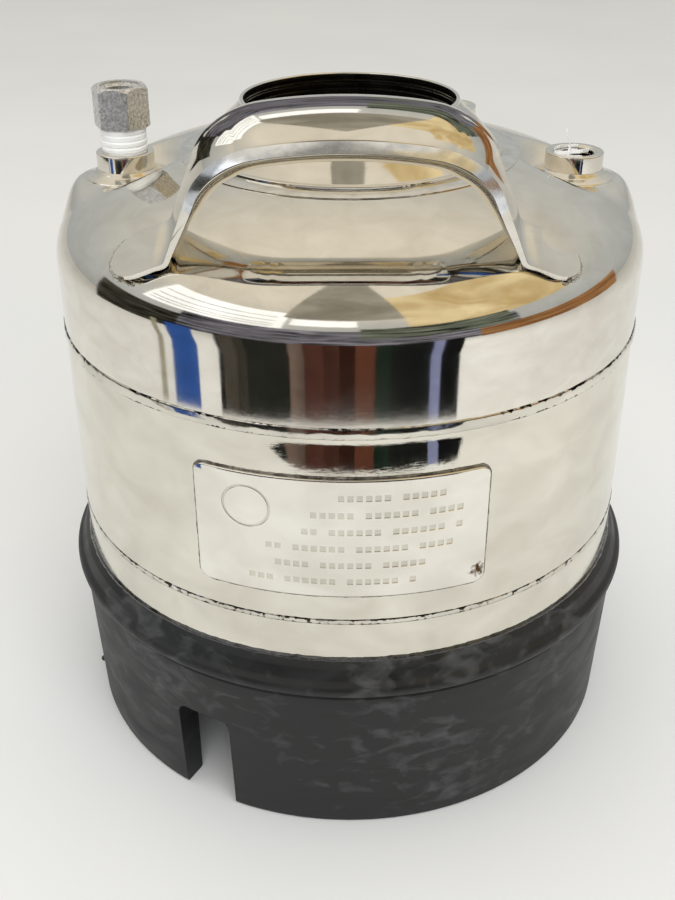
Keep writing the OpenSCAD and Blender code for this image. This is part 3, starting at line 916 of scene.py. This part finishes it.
def dataPlate():
    # a plain plate: blank stamped ring on the left, rows of blank stamped squares on the right
    r = vessel["radius"]
    front = -r - plate["sheet"]
    left, right = plate["middle"] - plate["width"] / 2, plate["middle"] + plate["width"] / 2
    low, high = plate["low"], plate["low"] + plate["height"]
    piece = box("dataPlateSheet", (left, front, low), (right, -r + 0.1, high))
    bevelEdges(piece, lambda a, b, edge: abs(a.y - b.y) > 0.5, plate["corner"], 8)
    bevelEdges(piece, lambda a, b, edge: max(a.y, b.y) < -r - 0.5, 0.5, 3)
    pitch, count = plate["dashPitch"], int((right - left - 12) / plate["dashPitch"])
    dashes = [left + 6 + pitch * index for index in range(count)]
    rows = [low + plate["height"] / 7 * (row + 1) - 1.4 for row in range(6)]
    slices(piece, Vector((1, 0, 0)), [left + 0.8, right - 0.8, left + 3.8, right - 3.8])
    slices(piece, Vector((0, 0, 1)), [low + 0.8, high - 0.8, low + 3.8, high - 3.8])
    slices(piece, Vector((1, 0, 0)), [x + step for x in dashes for step in (0, plate["dash"])])
    slices(piece, Vector((0, 0, 1)), [z + step for z in rows for step in (0, plate["stroke"])])

    def stamped(c):
        for row, z in enumerate(rows):
            if z < c.z < z + plate["stroke"]:
                first, last = plate["rowEnds"][row]
                cell = int((c.x - dashes[0]) // pitch)
                onDash = dashes[0] + cell * pitch < c.x < dashes[0] + cell * pitch + plate["dash"]
                return onDash and first < c.x < last and (cell * 3 + row * 2) % 7 != 0
        return False

    pick(piece)
    bpy.ops.object.mode_set(mode="EDIT")
    bpy.ops.mesh.select_mode(type="FACE")
    bpy.ops.mesh.select_all(action="DESELECT")
    shape = bmesh.from_edit_mesh(piece.data)
    for face in shape.faces:
        face.select = face.normal.y < -0.9 and stamped(face.calc_center_median() / mm)
    bmesh.update_edit_mesh(piece.data)
    bpy.ops.mesh.extrude_region_move(TRANSFORM_OT_translate={"value": (0, plate["strokeDepth"] * mm, 0)})
    bpy.ops.mesh.select_mode(type="VERT")
    bpy.ops.object.mode_set(mode="OBJECT")
    inner, depth = plate["ringRadius"], plate["strokeDepth"]
    groove = [(inner, -depth), (inner + 0.8, -depth), (inner + 1, depth), (inner - 0.2, depth)]
    stamp = turned("stamp", groove, 40)
    settle(stamp, Matrix.Translation(Vector((plate["ring"][0], front, plate["ring"][1])) * mm)
           @ Matrix.Rotation(math.pi / 2, 4, "X"))
    cut(piece, stamp)
    bendRound(piece)
    finish(piece, "data_plate", plateSteel, 30)

    def onStampFloor(centre, normal):
        sunk = r + plate["sheet"] - plate["strokeDepth"]
        inField = left + 5 < centre.x < right - 5 and low + 3 < centre.z < high - 3
        return inField and abs(math.hypot(centre.x, centre.y) - sunk) < 0.06 and normal.y < -0.7

    lineWith(piece, stampSteel, onStampFloor)


def plateSeam():
    r = vessel["radius"]
    grow = 0.7
    left = plate["middle"] - plate["width"] / 2 - grow
    right = plate["middle"] + plate["width"] / 2 + grow
    low, high = plate["low"] - grow, plate["low"] + plate["height"] + grow
    piece = box("plateSeamBead", (left, -r - 0.3, low), (right, -r + 0.1, high))
    bevelEdges(piece, lambda a, b, edge: abs(a.y - b.y) > 0.3, plate["corner"] + grow, 8)
    hole = box("hole", (left + grow, -r - 3, low + grow), (right - grow, -r + 3, high - grow))
    bevelEdges(hole, lambda a, b, edge: abs(a.y - b.y) > 0.4, plate["corner"], 8)
    cut(piece, hole)
    slices(piece, Vector((1, 0, 0)), span(left + 1, right - 1, 90))
    slices(piece, Vector((0, 0, 1)), span(low + 1, high - 1, 44))
    bendRound(piece)
    roughen(piece, 0.5, 1.7)
    return finish(piece, "plate_seam", darkBeadSteel, 60)


dataPlate()
plateSeam()
print("plate made")


# rubber boot

boot = {"foot": 115.9, "top": 118.7, "bead": 71.4, "beadRadius": 3.5, "lip": 82, "wall": 10.2,
        "notchWidth": 24, "notchHeight": 45, "notchBearing": 29, "notchCorner": 4.5}


def rubberBoot():
    r = vessel["radius"]
    inner = boot["foot"] - boot["wall"]
    beadX = boot["top"] - 1.1
    groove = boot["bead"] - boot["beadRadius"]
    outside = [
        (inner, 0, 1), (boot["foot"], 0, 1.6), (boot["top"], groove - 1.2, 1),
        (boot["top"] - 0.7, groove - 0.6, 0.2), (boot["top"] - 0.1, groove + 0.1, 0.2),
    ]
    bead = [(beadX + boot["beadRadius"] * math.cos(a), boot["bead"] + boot["beadRadius"] * math.sin(a), 0)
            for a in span(math.radians(-62), math.radians(66), 12)]
    lip = [(boot["top"] - 0.2, boot["bead"] + 4.1, 0.6), (r + 2.6, boot["lip"] - 2.6, 1.5),
           (r + 0.7, boot["lip"], 0.4), (r + 0.02, boot["lip"], 0)]
    seat = [(x + 0.02, lowerTangent - z, 0) for x, z in domeCurve(inner, 24)]
    profile = eased(outside + bead + lip + seat, steps=4)
    rows = []
    for index, point in enumerate(profile):  # extra rings keep the long skirt even
        following = profile[(index + 1) % len(profile)]
        rows.append(point)
        length = (following - point).length
        count = int(length // 6)
        rows += [point.lerp(following, (step + 1) / (count + 1)) for step in range(count)]
    piece = turned("mouldedBoot", rows, steps=240)
    notch = box("notch", (-boot["notchWidth"] / 2, -140, -boot["notchHeight"]),
                (boot["notchWidth"] / 2, -70, boot["notchHeight"]))
    bevelEdges(notch, lambda a, b, edge: abs(a.y - b.y) > 10, boot["notchCorner"], 8)
    settle(notch, Matrix.Rotation(math.radians(-boot["notchBearing"]), 4, "Z"))
    cut(piece, notch)
    return piece


def mouldNib(piece):
    # small flash nib on the left, low on the skirt
    spot = Vector((-111.5, -33.5, 14)) * mm
    deselectAll()
    bpy.ops.mesh.primitive_uv_sphere_add(segments=16, ring_count=10, radius=1.3 * mm, location=spot)
    nib = bpy.context.object
    bpy.ops.object.transform_apply(location=True, rotation=True, scale=True)
    cut(piece, nib, "UNION")


def bootSealant():
    r, z = vessel["radius"], boot["lip"]
    profile = [(r - 0.05, z - 0.4, 0), (r + 0.9, z - 0.4, 0.3), (r + 0.75, z + 0.5, 0.4),
               (r + 0.1, z + 1.3, 0.2), (r - 0.05, z + 1.3, 0)]
    piece = turned("sealantLine", eased(profile), steps=420)
    roughen(piece, 0.7, 1.7)
    return finish(piece, "boot_sealant", sealant, 60)


skirtPiece = rubberBoot()
mouldNib(skirtPiece)
finish(skirtPiece, "rubber_boot", blackRubber, 32)
bootSealant()
print("boot made")


# floor, light and the room that the polished steel mirrors

def floorPaint():
    # matt pale paint, very slightly clouded
    material, tree, shader, place = start("mattPaleFloor")
    cloud = grain(tree, place, 260, 3)
    tree.links.new(ramp(tree, cloud, [(0.3, "#E2E5E9"), (0.7, "#E7E9EC")]), shader.inputs["Base Color"])
    shader.inputs["Roughness"].default_value = 0.75
    return material


def glow(name, stops, strength, squash):
    # an even glow with soft level streaks, so that what is mirrored isn't flat
    material, tree, shader, place = start(name)
    streaks = grain(tree, stretch(tree, place, squash), 500, 4, 0.6)
    tree.links.new(ramp(tree, streaks, stops), shader.inputs["Emission Color"])
    shader.inputs["Base Color"].default_value = colour("#000000")
    shader.inputs["Specular IOR Level"].default_value = 0
    shader.inputs["Emission Strength"].default_value = strength
    return material


def card(name, bearings, profile, dark, light, strength=1, squash=(1, 1, 1)):
    # a bent card that only reflections show; bearings are degrees to the right of the front
    first, last = (math.radians(b) for b in bearings)
    piece = turned(name, profile, steps=max(3, int((last - first) * 16)), closed=False, angle=last - first)
    settle(piece, Matrix.Rotation(last - math.pi / 2, 4, "Z"))  # the spin sweeps clockwise
    piece.data.materials.append(glow(name + "Glow", [(0.35, dark), (0.65, light)], strength, squash))
    for sight in ("camera", "diffuse", "shadow", "transmission"):
        setattr(piece, "visible_" + sight, False)


def farCard(name, bearings, low, high, dark, light, strength=1, squash=(1, 1, 1), reach=1500):
    # a card 1.5 m away that reaches from one elevation in degrees to another
    profile = [(reach * math.cos(math.radians(a)), 200 + reach * math.sin(math.radians(a)))
               for a in span(low, high, 7)]
    card(name, bearings, profile, dark, light, strength, squash)


deselectAll()
bpy.ops.mesh.primitive_plane_add(size=24)
floor = bpy.context.object
floor.name = "floor"
floor.data.materials.append(floorPaint())

# upright strips just past the edge of the work table
nearStrips = [
    (-42.8, -41.2, "#0D0C0A", "#1A1815"), (-41.2, -36.5, "#34302B", "#6B655B"),
    (-36.5, -33, "#2A2723", "#4B4741"), (-33, -18.8, "#121310", "#292A26"),
    (-18.8, -14.2, "#5E5048", "#8A766C"), (-14.2, -8, "#4A2E27", "#6C483E"), (-8, -3, "#3B2620", "#57382F"),
    (-3, 2, "#1E120E", "#3C241D"), (2, 8.2, "#4E2E22", "#6F4635"), (8.2, 13, "#0E1A14", "#24332A"),
    (13, 26.2, "#0C0D0D", "#1F211F"), (26.2, 29.6, "#6E7499", "#959BC2"), (29.6, 36, "#080809", "#171718"),
    (-60.6, -50.5, "#2A4C92", "#4068B2"), (-66.4, -64, "#98937F", "#A8A391"),
]
for index, (left, right, dark, light) in enumerate(nearStrips):
    card("nearStrip" + str(index), (left, right), [(443, 0.5), (443, 190)], dark, light, 1, (3, 3, 0.3))

level, even = (1, 1, 9), (1, 1, 1)
farCard("roomLine", (-62, 62), -4, 20, "#0C0D10", "#9C9AA6", 1, level)
farCard("darkLine", (4, 60), 8, 24, "#090D0A", "#8B9383", 1, level, 1490)
farCard("windowGlass", (-82, -24), 20, 43, "#F4F6F8", "#FFFFFF", 1.5, even)
farCard("windowGlare", (-22, 3), 27, 36, "#F7F7F7", "#FFFFFF", 1.5, level)
farCard("warmWall", (22, 98), 23, 64, "#CDB27E", "#F6E2B4", 1.05, even)
farCard("greyCeiling", (-26, 22), 37, 90, "#8E897C", "#B3AD9F", 1, even)
farCard("woodShelf", (46, 112), -5, 7, "#7E5433", "#B5875A", 1, level, 1480)
farCard("darkShelf", (-102, -62), -8, 14, "#0E0E0B", "#4C4A40", 1, level)
for index, slat in enumerate((23, 26, 30.5, 36)):
    farCard("windowSlat" + str(index), (-80, -28), slat, slat + 0.7, "#8C8E90", "#B4B6B8", 1, even, 1490)


def areaLight(name, place, aim, size, power, tone):
    light = bpy.data.lights.new(name, "AREA")
    light.shape = "RECTANGLE"
    light.size, light.size_y = size
    light.energy = power
    light.color = colour(tone)[:3]
    lamp = bpy.data.objects.new(name, light)
    bpy.context.scene.collection.objects.link(lamp)
    lamp.location = place
    lamp.rotation_euler = (Vector(aim) - Vector(place)).to_track_quat("-Z", "Y").to_euler()
    lamp.visible_glossy = False


areaLight("frontSoftbox", (0.3, -1.15, 1.2), (0, -0.4, 0), (1.3, 1.1), 14, "#FFFFFF")
areaLight("topSoftbox", (-0.3, 0.4, 1.7), (0, 0, 0), (1.6, 1.4), 5, "#FFFFFF")


def skyDome():
    # pale walls that warm and brighten towards the ceiling
    world = bpy.data.worlds.new("studio")
    bpy.context.scene.world = world
    world.use_nodes = True
    tree = world.node_tree
    direction = add(tree, "TexCoord").outputs["Generated"]
    height = add(tree, "SeparateXYZ", links={"Vector": direction}).outputs["Z"]
    tint = ramp(tree, height, [(0, "#B4B7B7"), (0.3, "#C6C9C8"), (0.55, "#D3D2CC"), (0.72, "#E6E0D3"),
                               (0.88, "#F4ECDC")])
    tree.links.new(tint, tree.nodes["Background"].inputs["Color"])
    tree.nodes["Background"].inputs["Strength"].default_value = 0.97


skyDome()
bpy.context.scene.view_settings.view_transform = "Standard"
print("stage set")


# camera

view = {"place": (0, -0.43812, 0.35727), "pitch": 29.944, "yaw": -0.643, "roll": 0.16, "lens": 45.7}
cameraData = bpy.data.cameras.new("camera")
cameraData.lens = view["lens"]
cameraData.sensor_width = 36
cameraData.clip_start = 0.01
cameraData.dof.use_dof = False
camera = bpy.data.objects.new("camera", cameraData)
bpy.context.scene.collection.objects.link(camera)
camera.matrix_world = (
    Matrix.Translation(view["place"])
    @ Matrix.Rotation(math.radians(-view["yaw"]), 4, "Z")
    @ Matrix.Rotation(math.radians(90 - view["pitch"]), 4, "X")
    @ Matrix.Rotation(math.radians(-view["roll"]), 4, "Z")
)
bpy.context.scene.camera = camera
